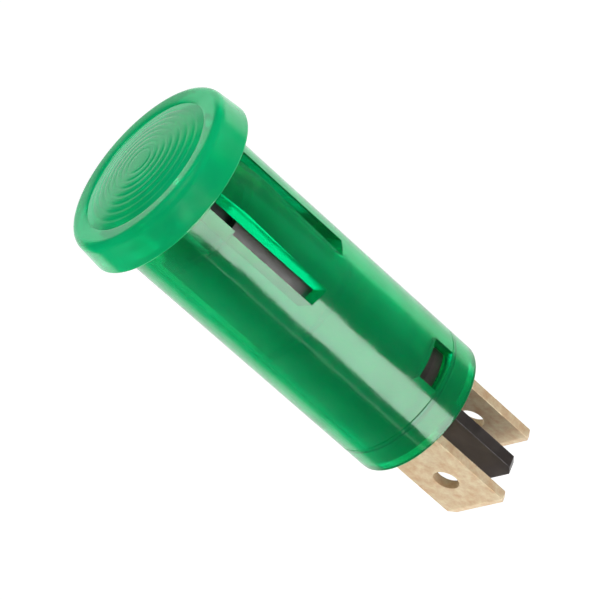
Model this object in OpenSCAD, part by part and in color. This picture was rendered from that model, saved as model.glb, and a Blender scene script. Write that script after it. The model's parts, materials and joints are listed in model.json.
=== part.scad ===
// Snap-in panel pilot light with a moulded lens and two tab terminals.
// +Z points out of the panel towards the lens. The origin is the centre of the
// panel face, the snap fingers face +Y and -Y, and the terminals lie at +X and -X.

/* [Lens head] */
// Diameter of the head at the panel
head_d = 16.1; // [14.6:0.1:20]
// Height of the rim above the panel
rim_h = 2.9; // [2.2:0.1:5]
// Draft of the rim's side, in degrees
rim_draft = 5; // [0:0.5:10]
// Rounding of the rim's front edge
rim_round = 0.75; // [0.3:0.05:1.2]
// Rounding of the rim's edge at the panel
rim_back_round = 0.15; // [0.05:0.05:0.4]
// Diameter of the crease between the rim and the domed lens
crease_d = 12.1; // [10:0.1:12.8]
// Depth of that crease below the rim
crease_depth = 0.12; // [0.06:0.02:0.4]
// Height of the dome above the rim
dome_rise = 0.55; // [0.2:0.05:2]
// Thickness of the lens at its centre
lens_wall = 1.3; // [0.8:0.1:2]
// Fall of the lens's inner face from its centre to the bore
lens_inner_fall = 0.9; // [0.3:0.1:1.5]

/* [Lens rings] */
// Radius of the first ring on the dome
ring_first = 1.2; // [0.6:0.1:2]
// Distance from ring to ring
ring_pitch = 0.68; // [0.52:0.02:1.2]
// Width of each ring's groove
ring_w = 0.5; // [0.2:0.02:0.5]
// Depth of each ring's groove
ring_depth = 0.02; // [0.01:0.005:0.06]

/* [Barrel] */
// Outer diameter of the barrel
barrel_d = 12.5; // [11.9:0.1:13.5]
// Diameter of the bore
bore_d = 10.4; // [10.1:0.1:10.8]
// Length of the barrel behind the panel face
barrel_l = 28.2; // [25.5:0.1:34]
// Rounding of the barrel's rear edge
barrel_end_round = 0.15; // [0.1:0.05:0.4]
// Depth of the fine parting line round the barrel
parting_depth = 0.04; // [0.02:0.01:0.1]
// Width of the parting line
parting_w = 0.1; // [0.06:0.02:0.2]

/* [Snap fingers] */
// Width of a snap finger
finger_w = 3.4; // [2.6:0.1:4]
// Width of the slot on each side of a finger
slot_w = 1.5; // [0.8:0.1:1.9]
// Length of the slots from the panel face
slot_l = 12.7; // [10:0.1:15]
// How far the slots' end walls lean over their wall
slot_end_lean = 0.44; // [0:0.05:0.8]
// Gap between a finger's free tip and the head
tip_gap = 0.5; // [0.3:0.1:0.8]
// Height of a finger's crest above the barrel
crest_rise = 0.5; // [0.2:0.05:0.8]
// Height of a finger's tip above the barrel
tip_rise = 0.2; // [0.05:0.05:0.4]
// Distance of the crest from the panel face
crest_back = 3.2; // [1.5:0.1:5]

/* [Locating key] */
// Width of the key along X
key_w = 1.9; // [1:0.1:2.2]
// Length of the key from the panel face
key_l = 3.3; // [1:0.1:6]
// Height of the key above the barrel
key_rise = 0.5; // [0.2:0.05:0.8]
// Rounding of the key's free corner
key_round = 0.6; // [0.2:0.1:0.9]

/* [Catch windows] */
// Width of a catch window
window_w = 3.8; // [2.6:0.1:4.4]
// Height of a catch window along the barrel
window_h = 2; // [1.4:0.1:3]
// Distance of a window's rear edge from the barrel's rear end
window_up = 2.8; // [2.4:0.1:6]

/* [Lamp carrier] */
// Radial gap between the carrier and the bore
carrier_gap = 0.08; // [0.03:0.01:0.2]
// Distance of the carrier's front end from the panel face
carrier_front = 3.8; // [2:0.1:6]
// Radial room between the fingers and the carrier's slim front
flex_room = 0.4; // [0.2:0.05:0.6]
// Distance from the slots' end to where the carrier widens
carrier_step = 1.3; // [0.5:0.1:3]
// How far the carrier's rear face lies inside the barrel
carrier_recess = 0.5; // [0.2:0.1:1]
// Height of the carrier's rear flange
flange_h = 1.5; // [0.8:0.1:2]
// How far the rear flange stands out beyond the carrier's side
flange_rise = 0.28; // [0.15:0.01:0.35]
// Thickness of the carrier's base
base_h = 3.6; // [2.5:0.1:5]
// Height of a catch above the carrier's side
catch_rise = 0.3; // [0.15:0.05:0.6]
// Gap between a catch and the edges of its window
catch_gap = 0.15; // [0.05:0.01:0.3]
// Thickness of the barrier between the terminals
barrier_t = 1.1; // [0.8:0.1:1.6]
// Width of the barrier
barrier_w = 6; // [4:0.1:7.5]
// How far the barrier's tip stays inside the terminals' tips
barrier_back = 0.2; // [0:0.1:2]
// Corner chamfer of the barrier's tip
barrier_chamfer = 0.7; // [0.2:0.1:1.5]
// Height of the inner web between the terminal feet
web_h = 2.2; // [1:0.1:3]

/* [Terminals] */
// Width of a terminal blade
tab_w = 6.3; // [4.8:0.1:6.6]
// Thickness of a terminal
tab_t = 0.8; // [0.5:0.1:1]
// Distance from the axis to a terminal's middle
tab_x = 3.05; // [2.6:0.05:3.1]
// Distance of the terminals' tips behind the barrel
tab_out = 9.3; // [7:0.1:12]
// Corner chamfer of a blade's tip
tab_chamfer = 0.5; // [0.2:0.1:1.2]
// Depth of the bevel on each face of a blade's tip
tab_bevel = 0.2; // [0.05:0.05:0.25]
// Length of that bevel
tab_bevel_l = 0.6; // [0.3:0.1:1.2]
// Diameter of the hole in a blade
tab_hole_d = 2.2; // [1.4:0.1:2.4]
// Distance of the hole's centre from the blade's tip
tab_hole_up = 4; // [3:0.1:5]
// Width of the shank that passes through the base
shank_w = 1.9; // [1.2:0.1:2]
// Length of the foot bent over the base
foot_l = 2.4; // [2:0.05:2.6]
// Gap round a shank in its slot
shank_gap = 0.05; // [0.02:0.01:0.12]

/* [Lamp] */
// Diameter of the glass
glass_d = 5.8; // [5:0.1:6]
// Length of the glass without its tip
glass_l = 12; // [10:0.1:12.5]
// Thickness of the glass
glass_wall = 0.5; // [0.3:0.05:0.8]
// Height of the flattened seal
seal_h = 2.2; // [1.5:0.1:3]
// Thickness of the flattened seal
seal_t = 2.4; // [1.6:0.1:3]
// Length of the exhaust tip
pip_l = 0.8; // [0.3:0.1:1]
// Diameter of an electrode
electrode_d = 0.9; // [0.6:0.1:1.2]
// Length of an electrode
electrode_l = 6; // [3:0.1:7]
// Distance of an electrode from the axis
electrode_x = 1; // [0.8:0.05:1.2]

/* [Lamp sleeve] */
// Gap between the glass and its sleeve
glass_gap = 0.1; // [0.05:0.01:0.2]
// Gap between the sleeve and the carrier
sleeve_gap = 0.1; // [0.05:0.01:0.2]
// Wall of the sleeve
sleeve_wall = 0.9; // [0.6:0.05:0.9]
// Distance of the sleeve's front end from the panel face
sleeve_front = 0.6; // [0.3:0.1:2]
// Height of the sleeve's inner lip
lip_h = 1.3; // [0.8:0.1:2]
// Width of the sleeve's inner lip
lip_w = 0.6; // [0.3:0.1:0.9]
// Width of the ledge under the sleeve
ledge_w = 0.35; // [0.2:0.05:0.4]

/* [Wiring] */
// Diameter of the lead wires
lead_d = 0.5; // [0.3:0.05:0.6]
// Diameter of the resistor
resistor_d = 2.2; // [1.6:0.1:2.4]
// Gap between the resistor and the web below it
resistor_foot_gap = 0.1; // [0.1:0.1:1]
// Gap between the resistor and the solder joint above it
resistor_head_gap = 0.24; // [0.1:0.02:0.6]
// Overlap of the resistor's lead and the lamp's lead
lap_l = 1.1; // [0.8:0.1:1.3]
// Gap between these two leads, filled with solder
lap_gap = 0.1; // [0.06:0.02:0.3]
// Diameter of the joint between these leads
joint_d = 1.5; // [1.3:0.1:2]
// Diameter of a solder joint on a terminal foot
solder_d = 1.1; // [0.9:0.1:1.4]
// Height of a solder joint
solder_h = 0.7; // [0.4:0.1:1]
// Outer diameter of the insulating tube on the long lead
tube_d = 1.1; // [0.9:0.1:1.4]
// Gap between the long lead and its tube
tube_gap = 0.06; // [0.02:0.01:0.15]

/* [Hidden] */
$fn = 96;
EPS = 0.01;
FAR = 20;
LENS_GREEN = [0, 0.68, 0.4];
CARRIER_BLACK = [0.12, 0.11, 0.11];
BRASS = [0.83, 0.71, 0.52];
TINNED = [0.78, 0.79, 0.8];

// Head, measured from the panel face
head_r = head_d / 2;
crease_r = crease_d / 2;
crease_z = rim_h - crease_depth;
dome_top = rim_h + dome_rise;
dome_fall = dome_top - crease_z;
dome_r = (crease_r * crease_r + dome_fall * dome_fall) / (2 * dome_fall);
rim_centre_z = rim_h - rim_round;
rim_centre_r = head_r - tan(rim_draft) * (rim_centre_z + rim_round * sin(rim_draft))
    - rim_round * cos(rim_draft);
ring_margin = 0.3;
ring_n = floor((crease_r - ring_margin - ring_first) / ring_pitch) + 1;

// Barrel
barrel_r = barrel_d / 2;
bore_r = bore_d / 2;
slot_out = finger_w / 2 + slot_w;
window_z = window_up - barrel_l;
counterbore_gap = 0.1;

// Carrier
carrier_r = bore_r - carrier_gap;
slim_r = bore_r - flex_room;
flange_r = carrier_r + flange_rise;
rear_z = carrier_recess - barrel_l;
base_z = rear_z + base_h;
step_z = -slot_l - carrier_step;
sleeve_r = glass_d / 2 + glass_gap + sleeve_wall;
front_bore_r = sleeve_r + sleeve_gap;
main_bore_r = front_bore_r - ledge_w;
counterbore_r = flange_r + carrier_gap;
counterbore_z = rear_z + flange_h + counterbore_gap;

// Terminals
tip_z = -barrel_l - tab_out;
barrier_tip_z = tip_z + barrier_back;
foot_z = base_z + tab_t;
bend_r = tab_t;

// Lamp
lamp_z = step_z + lip_h;
lamp_floor_z = lamp_z + seal_h;
electrode_z = lamp_floor_z + glass_wall + lead_d;
glass_shoulder = 0.4;
pip_d1 = 1.8;
pip_d2 = 0.5;
pip_sink = 0.2;

// Wiring
resistor_x = electrode_x + lead_d + lap_gap;
lead_drop = 0.3;
lead_stand = 1.6;
KINK_RISE = 0.04;
TUBE_INSET = 0.08;
LEAD_SIDES = 32;
resistor_end = 0.6;
joint_sink = 0.04;
joint_z = step_z - joint_d / 2 + joint_sink;
resistor_top = joint_z - joint_d / 2 - resistor_head_gap;
resistor_l = resistor_top - base_z - web_h - resistor_foot_gap;
bead_l = resistor_l / 4;
bead_slope = resistor_l / 20;
bead_rise = 0.15;
long_lead_x = tab_x + tab_t / 2 - foot_l + solder_d / 2;

function arc(cx, cy, r, a0, a1, n) =
    [for (i = [0:n]) let (a = a0 + (a1 - a0) * i / n) [cx + r * cos(a), cy + r * sin(a)]];

function dome_z(r) = dome_top - dome_r + sqrt(dome_r * dome_r - r * r);

// Points across one smooth ring groove, after the land before it
function ring_points(i) =
    let (
        r = ring_first + i * ring_pitch,
        start = r - ring_w / 2,
        land = i == 0 ? [for (k = [0:2]) start * k / 3] : []
    )
    concat(
        [for (q = land) [q, dome_z(q)]],
        [for (k = [0:6]) let (q = start + ring_w * k / 6)
            [q, dome_z(q) - ring_depth * (1 - cos(360 * k / 6)) / 2]]
    );

// Front of the head from the centre of the dome to the edge at the panel
head_outline = concat(
    [for (i = [0:ring_n - 1]) each ring_points(i)],
    [for (k = [0:8]) let (a = 90 * k / 8)
        [rim_centre_r - (rim_centre_r - crease_r) * cos(a), crease_z + crease_depth * sin(a)]],
    [for (p = arc(rim_centre_r, rim_centre_z, rim_round, 80, rim_draft, 8)) p],
    arc(head_r - rim_back_round, rim_back_round, rim_back_round, 0, -90, 4)
);

barrel_outline = concat(
    [
        [barrel_r, 0],
        [barrel_r, window_z + parting_w / 2],
        [barrel_r - parting_depth, window_z],
        [barrel_r, window_z - parting_w / 2]
    ],
    arc(barrel_r - barrel_end_round, barrel_end_round - barrel_l, barrel_end_round, 0, -90, 5),
    [
        [counterbore_r, -barrel_l],
        [counterbore_r, counterbore_z],
        [bore_r, counterbore_z]
    ]
);

// Inner face of the lens, from the bore's edge to its centre
lens_inner_top = dome_top - lens_wall;
lens_inner_r = (bore_r * bore_r + lens_inner_fall * lens_inner_fall) / (2 * lens_inner_fall);
lens_inner_edge = asin(bore_r / lens_inner_r);
lens_inner_outline = arc(0, lens_inner_top - lens_inner_r, lens_inner_r, 90 - lens_inner_edge, 90, 12);

module both_sides() {
    children();
    rotate([0, 0, 180]) children();
}

// A box centred on the Y axis that reaches from y0 outwards
module outward_box(w, y0, z0, z1) {
    translate([-w / 2, y0, z0]) cube([w, FAR, z1 - z0]);
}

module moulding_body() {
    rotate_extrude() polygon(concat(head_outline, barrel_outline, lens_inner_outline));
}

module finger_slots() {
    for (side = [-1, 1])
        translate([side * (finger_w + slot_w) / 2, 0, 0])
            rotate([90, 0, 90])
                linear_extrude(slot_w, center = true)
                    polygon([
                        [bore_r / 2, 0],
                        [barrel_r + 1, 0],
                        [barrel_r + 1, -slot_l - slot_end_lean / (barrel_r - bore_r)],
                        [bore_r / 2, -slot_l + slot_end_lean * (barrel_r - bore_r / 2) / (barrel_r - bore_r)]
                    ]);
    outward_box(finger_w + 2 * EPS, bore_r / 2, -tip_gap, 0);
}

module finger_ramp() {
    intersection() {
        rotate_extrude()
            polygon([
                [barrel_r - 0.3, -slot_l],
                [barrel_r, -slot_l],
                [barrel_r + crest_rise, -crest_back],
                [barrel_r + tip_rise, -tip_gap],
                [barrel_r - 0.3, -tip_gap]
            ]);
        outward_box(finger_w, 0, -FAR, 0);
    }
}

module key() {
    intersection() {
        translate([0, 0, -key_l])
            difference() {
                cylinder(r = barrel_r + key_rise, h = key_l + EPS);
                translate([0, 0, -1]) cylinder(r = barrel_r - 0.3, h = key_l + 2);
            }
        translate([slot_out, 0, 0])
            rotate([90, 0, 180])
                mirror([1, 0, 0])
                    linear_extrude(FAR)
                        difference() {
                            translate([0, -key_l]) square([key_w, key_l + EPS]);
                            translate([key_w - key_round, key_round - key_l])
                                difference() {
                                    translate([0, -key_round]) square(key_round);
                                    circle(key_round);
                                }
                        }
    }
}

module lens_barrel() {
    color(LENS_GREEN)
        union() {
            difference() {
                moulding_body();
                both_sides() finger_slots();
                both_sides() outward_box(window_w, bore_r / 2, window_z, window_z + window_h);
            }
            both_sides() finger_ramp();
            key();
        }
}

module barrier_plate() {
    rotate([90, 0, 90])
        linear_extrude(barrier_t, center = true)
            polygon([
                [-barrier_w / 2, rear_z + EPS],
                [-barrier_w / 2, barrier_tip_z + barrier_chamfer],
                [-barrier_w / 2 + barrier_chamfer, barrier_tip_z],
                [barrier_w / 2 - barrier_chamfer, barrier_tip_z],
                [barrier_w / 2, barrier_tip_z + barrier_chamfer],
                [barrier_w / 2, rear_z + EPS]
            ]);
}

module catch_wedge() {
    catch_back = window_z + catch_gap;
    catch_front = window_z + window_h - catch_gap;
    intersection() {
        rotate_extrude()
            polygon([
                [carrier_r - 0.3, catch_back],
                [carrier_r + catch_rise, catch_back],
                [carrier_r + catch_rise, (catch_back + catch_front) / 2],
                [carrier_r, catch_front],
                [carrier_r - 0.3, catch_front]
            ]);
        outward_box(window_w - 2 * catch_gap, 0, -2 * FAR, 0);
    }
}

module carrier_shell() {
    rotate_extrude()
        polygon([
            [0, rear_z],
            [flange_r, rear_z],
            [flange_r, rear_z + flange_h],
            [carrier_r, rear_z + flange_h],
            [carrier_r, step_z - (carrier_r - slim_r)],
            [slim_r, step_z],
            [slim_r, -carrier_front],
            [front_bore_r, -carrier_front],
            [front_bore_r, step_z],
            [main_bore_r, step_z],
            [main_bore_r, base_z],
            [0, base_z]
        ]);
}

module web() {
    intersection() {
        translate([-barrier_t / 2, -FAR / 2, base_z - EPS]) cube([barrier_t, FAR, web_h + EPS]);
        translate([0, 0, base_z - EPS]) cylinder(r = main_bore_r + 0.1, h = FAR);
    }
}

module lamp_carrier() {
    color(CARRIER_BLACK)
        difference() {
            union() {
                carrier_shell();
                barrier_plate();
                both_sides() catch_wedge();
                web();
            }
            both_sides()
                translate([tab_x - tab_t / 2 - shank_gap, -shank_w / 2 - shank_gap, rear_z - 1])
                    cube([tab_t + 2 * shank_gap, shank_w + 2 * shank_gap, base_h + 1 + EPS]);
        }
}

// Blade outline across its width, tip down
module blade_outline() {
    polygon([
        [-tab_w / 2, rear_z],
        [-tab_w / 2, tip_z + tab_chamfer],
        [-tab_w / 2 + tab_chamfer, tip_z],
        [tab_w / 2 - tab_chamfer, tip_z],
        [tab_w / 2, tip_z + tab_chamfer],
        [tab_w / 2, rear_z]
    ]);
}

// Blade section through its thickness, with the bevelled tip
module blade_section() {
    half = tab_t / 2;
    polygon([
        [-half, rear_z],
        [-half, tip_z + tab_bevel_l],
        [-half + tab_bevel, tip_z],
        [half - tab_bevel, tip_z],
        [half, tip_z + tab_bevel_l],
        [half, rear_z]
    ]);
}

// Shank through the base and the foot bent inwards over it
module shank_and_foot() {
    outer = tab_t / 2;
    translate([0, shank_w / 2, 0])
        rotate([90, 0, 0])
            linear_extrude(shank_w) {
                translate([-outer, rear_z - EPS]) square([tab_t, base_h + EPS]);
                translate([-outer, base_z])
                    intersection() {
                        circle(bend_r);
                        square(bend_r);
                    }
                translate([outer - foot_l, base_z]) square([foot_l - bend_r + EPS, tab_t]);
            }
}

module terminal() {
    color(BRASS)
        translate([tab_x, 0, 0])
            union() {
                difference() {
                    intersection() {
                        rotate([90, 0, 90]) linear_extrude(tab_t, center = true) blade_outline();
                        rotate([90, 0, 0]) linear_extrude(tab_w + 1, center = true) blade_section();
                    }
                    translate([0, 0, tip_z + tab_hole_up])
                        rotate([0, 90, 0])
                            cylinder(d = tab_hole_d, h = tab_t + 1, center = true);
                }
                shank_and_foot();
            }
}

module terminal_near() {
    terminal();
}

module terminal_far() {
    rotate([0, 0, 180]) terminal();
}

module lamp_glass() {
    r = glass_d / 2;
    inner_r = r - glass_wall;
    top_z = lamp_z + glass_l;
    color([0.9, 0.95, 0.95, 0.6])
        difference() {
            union() {
                translate([0, 0, lamp_floor_z])
                    rotate_extrude()
                        polygon(concat(
                            [[0, 0], [r - glass_shoulder, 0], [r, glass_shoulder]],
                            arc(0, top_z - r - lamp_floor_z, r, 0, 90, 12)
                        ));
                intersection() {
                    translate([0, 0, lamp_z]) cylinder(r = r, h = seal_h + 1);
                    translate([-r, -seal_t / 2, lamp_z]) cube([2 * r, seal_t, seal_h + 0.5]);
                }
                translate([0, 0, top_z - pip_sink]) cylinder(d1 = pip_d1, d2 = pip_d2, h = pip_l + pip_sink);
            }
            translate([0, 0, lamp_floor_z + glass_wall])
                rotate_extrude()
                    polygon(concat(
                        [[0, 0], [inner_r, 0]],
                        arc(0, top_z - r - lamp_floor_z - glass_wall, inner_r, 0, 90, 12)
                    ));
            for (side = [-1, 1])
                translate([side * electrode_x, 0, lamp_z - 1])
                    cylinder(d = lead_d + 2 * EPS, h = seal_h + 2);
        }
}

module electrode(side) {
    color([0.7, 0.7, 0.72])
        translate([side * electrode_x, 0, electrode_z])
            cylinder(d = electrode_d, h = electrode_l);
}

module electrode_near() {
    electrode(1);
}

module electrode_far() {
    electrode(-1);
}

module lamp_sleeve() {
    inner = glass_d / 2 + glass_gap;
    color([0.08, 0.08, 0.09])
        rotate_extrude()
            polygon([
                [sleeve_r, step_z],
                [sleeve_r, -sleeve_front],
                [inner, -sleeve_front],
                [inner, step_z + lip_h],
                [inner - lip_w, step_z + lip_h],
                [inner - lip_w, step_z]
            ]);
}

// A round bar between two points
module bar(a, b, d) {
    v = b - a;
    len = norm(v);
    translate(a)
        rotate([0, acos(v.z / len), atan2(v.y, v.x)])
            cylinder(d = d, h = len, $fn = LEAD_SIDES);
}

// A wire through points [x, z] in the plane between the terminals
module wire(points, d) {
    for (i = [0:len(points) - 2])
        bar([points[i].x, 0, points[i].y], [points[i + 1].x, 0, points[i + 1].y], d);
    if (len(points) > 2)
        for (i = [1:len(points) - 2])
            translate([points[i].x, 0, points[i].y]) sphere(d = d + KINK_RISE, $fn = LEAD_SIDES);
}

// The near lead ends beside the resistor's lead
module lamp_lead_near() {
    color(TINNED)
        wire([[electrode_x, electrode_z], [electrode_x, joint_z - lap_l / 2]], lead_d);
}

long_lead_a = [-electrode_x, step_z - lead_drop];
long_lead_b = [-long_lead_x, foot_z + solder_h + lead_stand];

// The far lead runs down to its terminal's foot
module lamp_lead_far() {
    color(TINNED)
        wire([
            [-electrode_x, electrode_z],
            long_lead_a,
            long_lead_b,
            [-long_lead_x, foot_z]
        ], lead_d);
}

module lead_tube() {
    run = long_lead_b - long_lead_a;
    start = long_lead_a + run * TUBE_INSET;
    end = long_lead_b - run * TUBE_INSET;
    color([0.85, 0.85, 0.8])
        difference() {
            bar([start.x, 0, start.y], [end.x, 0, end.y], tube_d);
            bar([long_lead_a.x, 0, long_lead_a.y], [long_lead_b.x, 0, long_lead_b.y], lead_d + 2 * tube_gap);
        }
}

// Coated resistor body with its two end beads
module resistor_body() {
    r = resistor_d / 2;
    waist = bead_l + bead_slope;
    color([0.35, 0.55, 0.62])
        translate([resistor_x, 0, resistor_top - resistor_l])
            rotate_extrude()
                polygon(concat(
                    [[0, 0]],
                    arc(r - resistor_end, resistor_end, resistor_end, -90, 0, 6),
                    [[r, bead_l], [r - bead_rise, waist]],
                    [[r - bead_rise, resistor_l - waist], [r, resistor_l - bead_l]],
                    arc(r - resistor_end, resistor_l - resistor_end, resistor_end, 0, 90, 6),
                    [[0, resistor_l]]
                ));
}

module resistor_lead_upper() {
    color(TINNED)
        wire([[resistor_x, resistor_top], [resistor_x, joint_z + lap_l / 2]], lead_d);
}

module resistor_lead_lower() {
    color(TINNED)
        wire([[resistor_x, resistor_top - resistor_l], [resistor_x, foot_z]], lead_d);
}

// Solder round the two lapped leads
module lead_joint() {
    middle = (electrode_x + resistor_x) / 2;
    color(TINNED)
        difference() {
            translate([middle, 0, joint_z - joint_d / 2])
                rotate_extrude()
                    polygon([
                        [0, 0],
                        [joint_d / 4, 0],
                        [joint_d / 2, joint_d / 3],
                        [joint_d / 2, joint_d * 2 / 3],
                        [joint_d / 4, joint_d],
                        [0, joint_d]
                    ]);
            for (x = [electrode_x, resistor_x])
                translate([x, 0, joint_z - joint_d])
                    cylinder(d = lead_d + 2 * EPS, h = 2 * joint_d);
        }
}

// Solder cone round a lead on a terminal's foot
module foot_solder(x) {
    color(TINNED)
        difference() {
            translate([x, 0, foot_z]) cylinder(d1 = solder_d, d2 = lead_d + 0.3, h = solder_h);
            translate([x, 0, foot_z - 1]) cylinder(d = lead_d + 2 * EPS, h = solder_h + 2);
        }
}

module solder_near() {
    foot_solder(resistor_x);
}

module solder_far() {
    foot_solder(-long_lead_x);
}

lens_barrel();
lamp_carrier();
terminal_near();
terminal_far();
lamp_sleeve();
lamp_glass();
electrode_near();
electrode_far();
lamp_lead_near();
lamp_lead_far();
lead_tube();
lead_joint();
resistor_body();
resistor_lead_upper();
resistor_lead_lower();
solder_near();
solder_far();
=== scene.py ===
import json
import math

import bpy
from mathutils import Matrix, Vector

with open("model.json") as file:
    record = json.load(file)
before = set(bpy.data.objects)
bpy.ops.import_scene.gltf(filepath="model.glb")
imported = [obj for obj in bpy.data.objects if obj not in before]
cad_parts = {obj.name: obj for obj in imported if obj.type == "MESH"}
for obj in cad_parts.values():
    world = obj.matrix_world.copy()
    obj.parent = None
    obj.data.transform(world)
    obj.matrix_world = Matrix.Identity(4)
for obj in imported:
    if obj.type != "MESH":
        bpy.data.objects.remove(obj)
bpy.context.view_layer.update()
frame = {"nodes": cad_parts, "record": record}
nodes = frame["nodes"]
scene = bpy.context.scene
MM = 0.001

# ---------------------------------------------------------------- camera
# The camera stands on the +Y finger's side, turned towards the near blade and a
# little towards the lens. It is rolled so that the lens points up and left.
TILT = math.radians(26.0)
ROLL = math.radians(41.56)
TURN = math.radians(35.27)
SHIFT_X, SHIFT_Y, DISTANCE = -9.761 * MM, -8.399 * MM, 269.186 * MM
LENS_MM, SENSOR_MM = 214.0, 36
CLIP_NEAR, CLIP_FAR = 0.01, 20
UP = Vector((0, 0, 1))
TO_VIEWER = Vector((math.sin(TURN), math.cos(TURN), 0))
ACROSS = Vector((-math.cos(TURN), math.sin(TURN), 0))
along = math.sin(TILT) * TO_VIEWER - math.cos(TILT) * UP
LOOK = -math.cos(TILT) * TO_VIEWER - math.sin(TILT) * UP
RIGHT = math.cos(ROLL) * along + math.sin(ROLL) * ACROSS
DOWN = math.sin(ROLL) * along - math.cos(ROLL) * ACROSS

cam = bpy.data.objects.new("camera", bpy.data.cameras.new("camera"))
scene.collection.objects.link(cam)
cam.data.sensor_width = SENSOR_MM
cam.data.lens = LENS_MM
cam.data.clip_start, cam.data.clip_end = CLIP_NEAR, CLIP_FAR
turn = Matrix((RIGHT, -DOWN, -LOOK)).transposed().to_4x4()
cam.matrix_world = Matrix.Translation(-SHIFT_X * RIGHT - SHIFT_Y * DOWN - DISTANCE * LOOK) @ turn
scene.camera = cam


# ------------------------------------------------------------- materials
# A Mix node has one pair of value sockets for numbers and one for colours.
MIX_NUMBERS = (2, 3)
MIX_COLOURS = (6, 7)
MIX_COLOUR_OUT = 2
EDGE_SAMPLES = 6


class Finish:
    """A Principled material whose colour, roughness and bump come from noise in the object's own space.

    Grain is given as noise cells per millimetre, heights and radii in millimetres.
    """

    def __init__(self, name):
        self.mat = bpy.data.materials.new(name)
        self.mat.use_nodes = True
        self.tree = self.mat.node_tree
        self.shader = self.tree.nodes["Principled BSDF"]
        self.coords = self.tree.nodes.new("ShaderNodeTexCoord")
        self.normal = None

    def add(self, kind):
        return self.tree.nodes.new(kind)

    def link(self, a, b):
        self.tree.links.new(a, b)

    def noise(self, per_mm, detail=3.0, stretch=(1, 1, 1), rough=0.5):
        spread = self.add("ShaderNodeMapping")
        spread.inputs["Scale"].default_value = [per_mm / MM * s for s in stretch]
        tex = self.add("ShaderNodeTexNoise")
        tex.inputs["Scale"].default_value = 1.0
        tex.inputs["Detail"].default_value = detail
        tex.inputs["Roughness"].default_value = rough
        self.link(self.coords.outputs["Object"], spread.inputs["Vector"])
        self.link(spread.outputs["Vector"], tex.inputs["Vector"])
        return tex.outputs["Fac"]

    def ramp(self, fac, low, high, start=0.35, end=0.65):
        r = self.add("ShaderNodeValToRGB")
        r.color_ramp.elements[0].position = start
        r.color_ramp.elements[1].position = end
        r.color_ramp.elements[0].color = (*low, 1)
        r.color_ramp.elements[1].color = (*high, 1)
        self.link(fac, r.inputs["Fac"])
        return r.outputs["Color"]

    def spread(self, fac, low, high, start=0.3, end=0.7):
        m = self.add("ShaderNodeMapRange")
        m.inputs["From Min"].default_value = start
        m.inputs["From Max"].default_value = end
        m.inputs["To Min"].default_value = low
        m.inputs["To Max"].default_value = high
        self.link(fac, m.inputs["Value"])
        return m.outputs["Result"]

    def colour(self, low, high, per_mm, **kw):
        self.link(self.ramp(self.noise(per_mm, **kw), low, high), self.shader.inputs["Base Color"])

    def roughness(self, low, high, per_mm, **kw):
        self.link(self.spread(self.noise(per_mm, **kw), low, high), self.shader.inputs["Roughness"])

    def bump(self, per_mm, height_mm, strength=1.0, **kw):
        b = self.add("ShaderNodeBump")
        b.inputs["Strength"].default_value = strength
        b.inputs["Distance"].default_value = height_mm * MM
        self.link(self.noise(per_mm, **kw), b.inputs["Height"])
        if self.normal:
            self.link(self.normal, b.inputs["Normal"])
        self.normal = b.outputs["Normal"]
        self.link(self.normal, self.shader.inputs["Normal"])

    def soften(self, radius_mm):
        """Rounds the shading over the edges, so that they catch the light."""
        edge = self.add("ShaderNodeBevel")
        edge.samples = EDGE_SAMPLES
        edge.inputs["Radius"].default_value = radius_mm * MM
        self.normal = edge.outputs["Normal"]

    def blend(self, fac, low, high):
        m = self.add("ShaderNodeMix")
        m.data_type = "RGBA"
        self.link(fac, m.inputs[0])
        for i, value in zip(MIX_COLOURS, (low, high)):
            self.link(value, m.inputs[i])
        return m.outputs[MIX_COLOUR_OUT]

    def set(self, **values):
        for name, value in values.items():
            self.shader.inputs[name.replace("_", " ")].default_value = value


# Where the lens's haze starts and is full, counted from the panel face. Over the same span the wall's painted
# shade gives way to the head's colour.
HAZE_FROM, HAZE_FULL = -0.4 * MM, 0.1 * MM
HEAD_CLEAR, WALL_CLEAR = 0.45, 0.78


def green_lens():
    # Ahead of the panel face the plastic is thick and hazy, behind it the wall is thin and clear.
    f = Finish("green_lens")
    apart = f.add("ShaderNodeSeparateXYZ")
    f.link(f.coords.outputs["Object"], apart.inputs["Vector"])
    thin = f.spread(apart.outputs["Z"], 1.0, 0.0, start=HAZE_FROM, end=HAZE_FULL)
    cloud = f.noise(0.12)
    head = f.ramp(cloud, (0.0, 0.70, 0.25), (0.0, 0.80, 0.31))
    # The wall's colours are a little darker than the head's: painted shade of the dark carrier seen through
    # the thin wall.
    wall_painted_shade = f.ramp(cloud, (0.0, 0.67, 0.22), (0.0, 0.77, 0.28))
    f.link(f.blend(thin, head, wall_painted_shade), f.shader.inputs["Base Color"])
    f.roughness(0.10, 0.18, 0.5)
    f.bump(0.22, 0.10, detail=1.0)
    f.bump(4.5, 0.003, detail=3.0)
    f.link(f.spread(thin, HEAD_CLEAR, WALL_CLEAR, start=0.0, end=1.0), f.shader.inputs["Transmission Weight"])
    f.set(IOR=1.5)
    return f.mat


def black_moulding():
    f = Finish("black_moulding")
    f.soften(0.12)
    f.colour((0.042, 0.033, 0.030), (0.066, 0.052, 0.047), 0.5)
    f.roughness(0.28, 0.45, 0.8)
    f.bump(5.0, 0.003, detail=4.0)
    return f.mat


def brass_tab():
    f = Finish("brass_tab")
    f.soften(0.07)
    f.colour((0.82, 0.55, 0.31), (1.0, 0.84, 0.57), 1.1, detail=6.0, rough=0.65)
    f.roughness(0.34, 0.58, 1.6, detail=5.0)
    f.bump(1.4, 0.012, detail=5.0)
    f.bump(6.0, 0.003, detail=3.0, stretch=(1, 1, 0.2))
    f.set(Metallic=0.4)
    return f.mat


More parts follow.
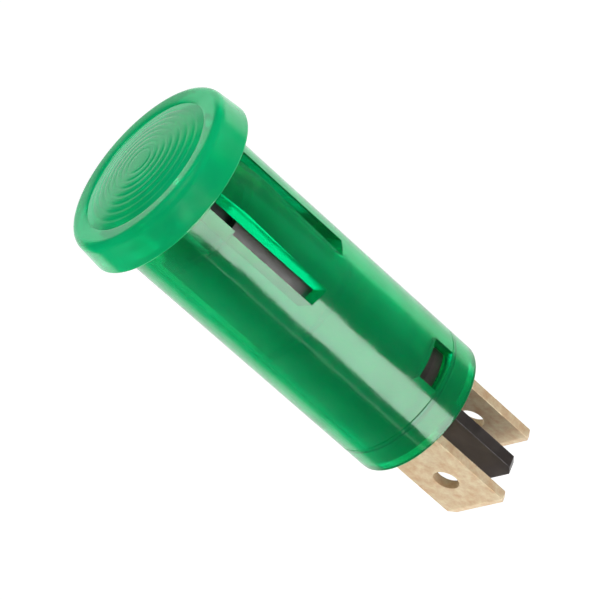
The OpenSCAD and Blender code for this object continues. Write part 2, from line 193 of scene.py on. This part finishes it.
def plain(name, low, high, rough=(0.4, 0.55), metallic=0.0, glass=0.0):
    """A small piece's finish: grain, noise cells per millimetre, is the same for all of them."""
    grain = 1.0
    f = Finish(name)
    f.colour(low, high, grain)
    f.roughness(rough[0], rough[1], grain * 1.5)
    f.bump(grain * 4, 0.002, detail=3.0)
    f.set(Metallic=metallic)
    if glass:
        f.set(Transmission_Weight=glass, IOR=1.5)
    return f.mat


FINISHES = {
    "green_lens": green_lens(),
    "black_moulding": black_moulding(),
    "brass_tab": brass_tab(),
    "black_sleeve": plain("black_sleeve", (0.012, 0.012, 0.014), (0.03, 0.03, 0.032), (0.5, 0.7)),
    "clear_glass": plain(
        "clear_glass", (0.92, 0.96, 0.95), (0.97, 0.99, 0.98), (0.02, 0.05), glass=1.0
    ),
    "nickel": plain("nickel", (0.5, 0.5, 0.47), (0.66, 0.65, 0.62), (0.25, 0.4), 1.0),
    "tinned_wire": plain("tinned_wire", (0.6, 0.61, 0.62), (0.76, 0.77, 0.78), (0.2, 0.35), 1.0),
    "insulating_tube": plain(
        "insulating_tube", (0.62, 0.6, 0.5), (0.74, 0.72, 0.62), (0.5, 0.65)
    ),
    "solder": plain("solder", (0.5, 0.51, 0.53), (0.68, 0.69, 0.7), (0.25, 0.5), 1.0),
    "resistor_coat": plain("resistor_coat", (0.12, 0.28, 0.36), (0.17, 0.36, 0.44), (0.25, 0.4)),
}
SLOT_OF = {s["node"]: s["material_slot"] for s in frame["record"]["subparts"]}
for name, obj in nodes.items():
    obj.data.materials.clear()
    obj.data.materials.append(FINISHES[SLOT_OF[name]])


# -------------------------------------------------------- floor and light
# The background is white all round. In reflections and through clear plastic it
# is white behind the object and dark on the lamps' side, as in a light tent.
def ray(azimuth, elevation):
    """Direction from the object: azimuth is counted from the viewer's side towards ACROSS, in degrees."""
    a, e = math.radians(azimuth), math.radians(elevation)
    return math.cos(e) * (math.cos(a) * TO_VIEWER + math.sin(a) * ACROSS) + math.sin(e) * UP


DARK = ray(-9.5, 26)  # the middle of the surroundings' dark side


class Tent:
    def __init__(self, tree):
        self.tree = tree

    def add(self, kind, **props):
        n = self.tree.nodes.new(kind)
        for key, value in props.items():
            setattr(n, key, value)
        return n

    def link(self, a, b):
        self.tree.links.new(a, b)

    def mix(self, fac, low, high):
        m = self.add("ShaderNodeMix", data_type="FLOAT")
        self.link(fac, m.inputs[0])
        for i, value in zip(MIX_NUMBERS, (low, high)):
            if isinstance(value, float):
                m.inputs[i].default_value = value
            else:
                self.link(value, m.inputs[i])
        return m.outputs[0]

    def level(self, direction):
        """1 behind the object, dark on the lamps' side."""
        unit = self.add("ShaderNodeVectorMath", operation="NORMALIZE")
        self.link(direction, unit.inputs[0])
        toward = self.add("ShaderNodeVectorMath", operation="DOT_PRODUCT")
        toward.inputs[1].default_value = DARK
        self.link(unit.outputs["Vector"], toward.inputs[0])
        step = self.add("ShaderNodeMapRange", interpolation_type="SMOOTHSTEP")
        for key, value in {"From Min": -0.65, "From Max": -0.46, "To Min": 1.0, "To Max": 0.03}.items():
            step.inputs[key].default_value = value
        self.link(toward.outputs["Value"], step.inputs["Value"])
        return step.outputs["Result"]

    def sharp(self, path):
        """1 for a reflected or refracted ray."""
        m = self.add("ShaderNodeMath", operation="MAXIMUM")
        self.link(path.outputs["Is Glossy Ray"], m.inputs[0])
        self.link(path.outputs["Is Transmission Ray"], m.inputs[1])
        return m.outputs[0]


AMBIENT = 0.4  # the sky's light on matt surfaces
ABOVE = 0.8  # how bright the white is in reflections above the horizon
FROM_BELOW = 0.35  # the floor's glow on matt surfaces
SEEN = 0.8  # the floor's glow to the camera, to which its lit colour is added


def floor_material():
    mat = bpy.data.materials.new("pale_floor")
    mat.use_nodes = True
    mat.node_tree.nodes.clear()
    t = Tent(mat.node_tree)
    path = t.add("ShaderNodeLightPath")
    where = t.add("ShaderNodeNewGeometry")
    sharp = t.sharp(path)
    matt = t.add("ShaderNodeBsdfDiffuse")
    matt.inputs["Color"].default_value = (0.5, 0.5, 0.5, 1)
    glow = t.add("ShaderNodeEmission")
    glow.inputs["Color"].default_value = (1, 1, 1, 1)
    plain = t.mix(path.outputs["Is Camera Ray"], FROM_BELOW, SEEN)
    seen = t.mix(sharp, plain, t.level(where.outputs["Position"]))
    t.link(seen, glow.inputs["Strength"])
    both = t.add("ShaderNodeAddShader")
    t.link(matt.outputs[0], both.inputs[0])
    t.link(glow.outputs[0], both.inputs[1])
    pick = t.add("ShaderNodeMixShader")
    t.link(sharp, pick.inputs[0])
    t.link(both.outputs[0], pick.inputs[1])
    t.link(glow.outputs[0], pick.inputs[2])
    t.link(pick.outputs[0], t.add("ShaderNodeOutputMaterial").inputs["Surface"])
    return mat


FLOOR_Z = -0.35
REACH = 4.0
CORNERS = ((-1, -1), (1, -1), (1, 1), (-1, 1))
mesh = bpy.data.meshes.new("floor")
mesh.from_pydata([(x * REACH, y * REACH, FLOOR_Z) for x, y in CORNERS], [], [range(len(CORNERS))])
floor = bpy.data.objects.new("floor", mesh)
scene.collection.objects.link(floor)
floor.data.materials.append(floor_material())


AIM = Vector((0, 0, -13 * MM))  # the lamps point at the barrel's middle


def softbox(name, direction, distance, width, height, radiance, glossy=True, diffuse=True, through=True):
    """A rectangular lamp, sizes in metres; radiance is how bright it looks in a reflection."""
    data = bpy.data.lights.new(name, "AREA")
    data.shape = "RECTANGLE"
    data.size, data.size_y = width, height
    data.energy = radiance * math.pi * width * height
    obj = bpy.data.objects.new(name, data)
    scene.collection.objects.link(obj)
    obj.location = AIM + direction * distance
    obj.rotation_mode = "QUATERNION"
    obj.rotation_quaternion = (-direction).to_track_quat("-Z", "Y")
    obj.visible_camera = False
    obj.visible_glossy = glossy
    obj.visible_diffuse = diffuse
    obj.visible_transmission = through
    return obj


softbox("front_box", ray(0, -33), 0.30, 0.205, 0.18, 7.4, diffuse=False)
softbox("edge_strip", ray(-39, -34), 0.30, 0.010, 0.17, 2.5, diffuse=False)
softbox("small_top", ray(5, 62), 0.40, 0.19, 0.06, 4.0, diffuse=False, through=False)
softbox("fill_left", ray(-95, -8), 0.50, 0.5, 0.4, 1.9, glossy=False)
softbox("fill_low", ray(-108, -48), 0.50, 0.5, 0.4, 4.2, glossy=False, through=False)
softbox("fill_right", ray(95, -8), 0.50, 0.5, 0.4, 2.4, glossy=False)
softbox("fill_high", ray(15, 72), 0.60, 0.5, 0.5, 1.9, glossy=False)

def light_world():
    world = bpy.data.worlds.new("world")
    scene.world = world
    world.use_nodes = True
    world.node_tree.nodes.clear()
    t = Tent(world.node_tree)
    path = t.add("ShaderNodeLightPath")
    where = t.add("ShaderNodeTexCoord")
    dimmed = t.add("ShaderNodeMath", operation="MULTIPLY")
    dimmed.inputs[1].default_value = ABOVE
    t.link(t.level(where.outputs["Generated"]), dimmed.inputs[0])
    unseen = t.mix(t.sharp(path), AMBIENT, dimmed.outputs[0])
    sky = t.add("ShaderNodeBackground")
    sky.inputs["Color"].default_value = (1, 1, 1, 1)
    t.link(t.mix(path.outputs["Is Camera Ray"], unseen, 1.0), sky.inputs["Strength"])
    t.link(sky.outputs[0], t.add("ShaderNodeOutputWorld").inputs["Surface"])


light_world()
scene.view_settings.view_transform = "Standard"
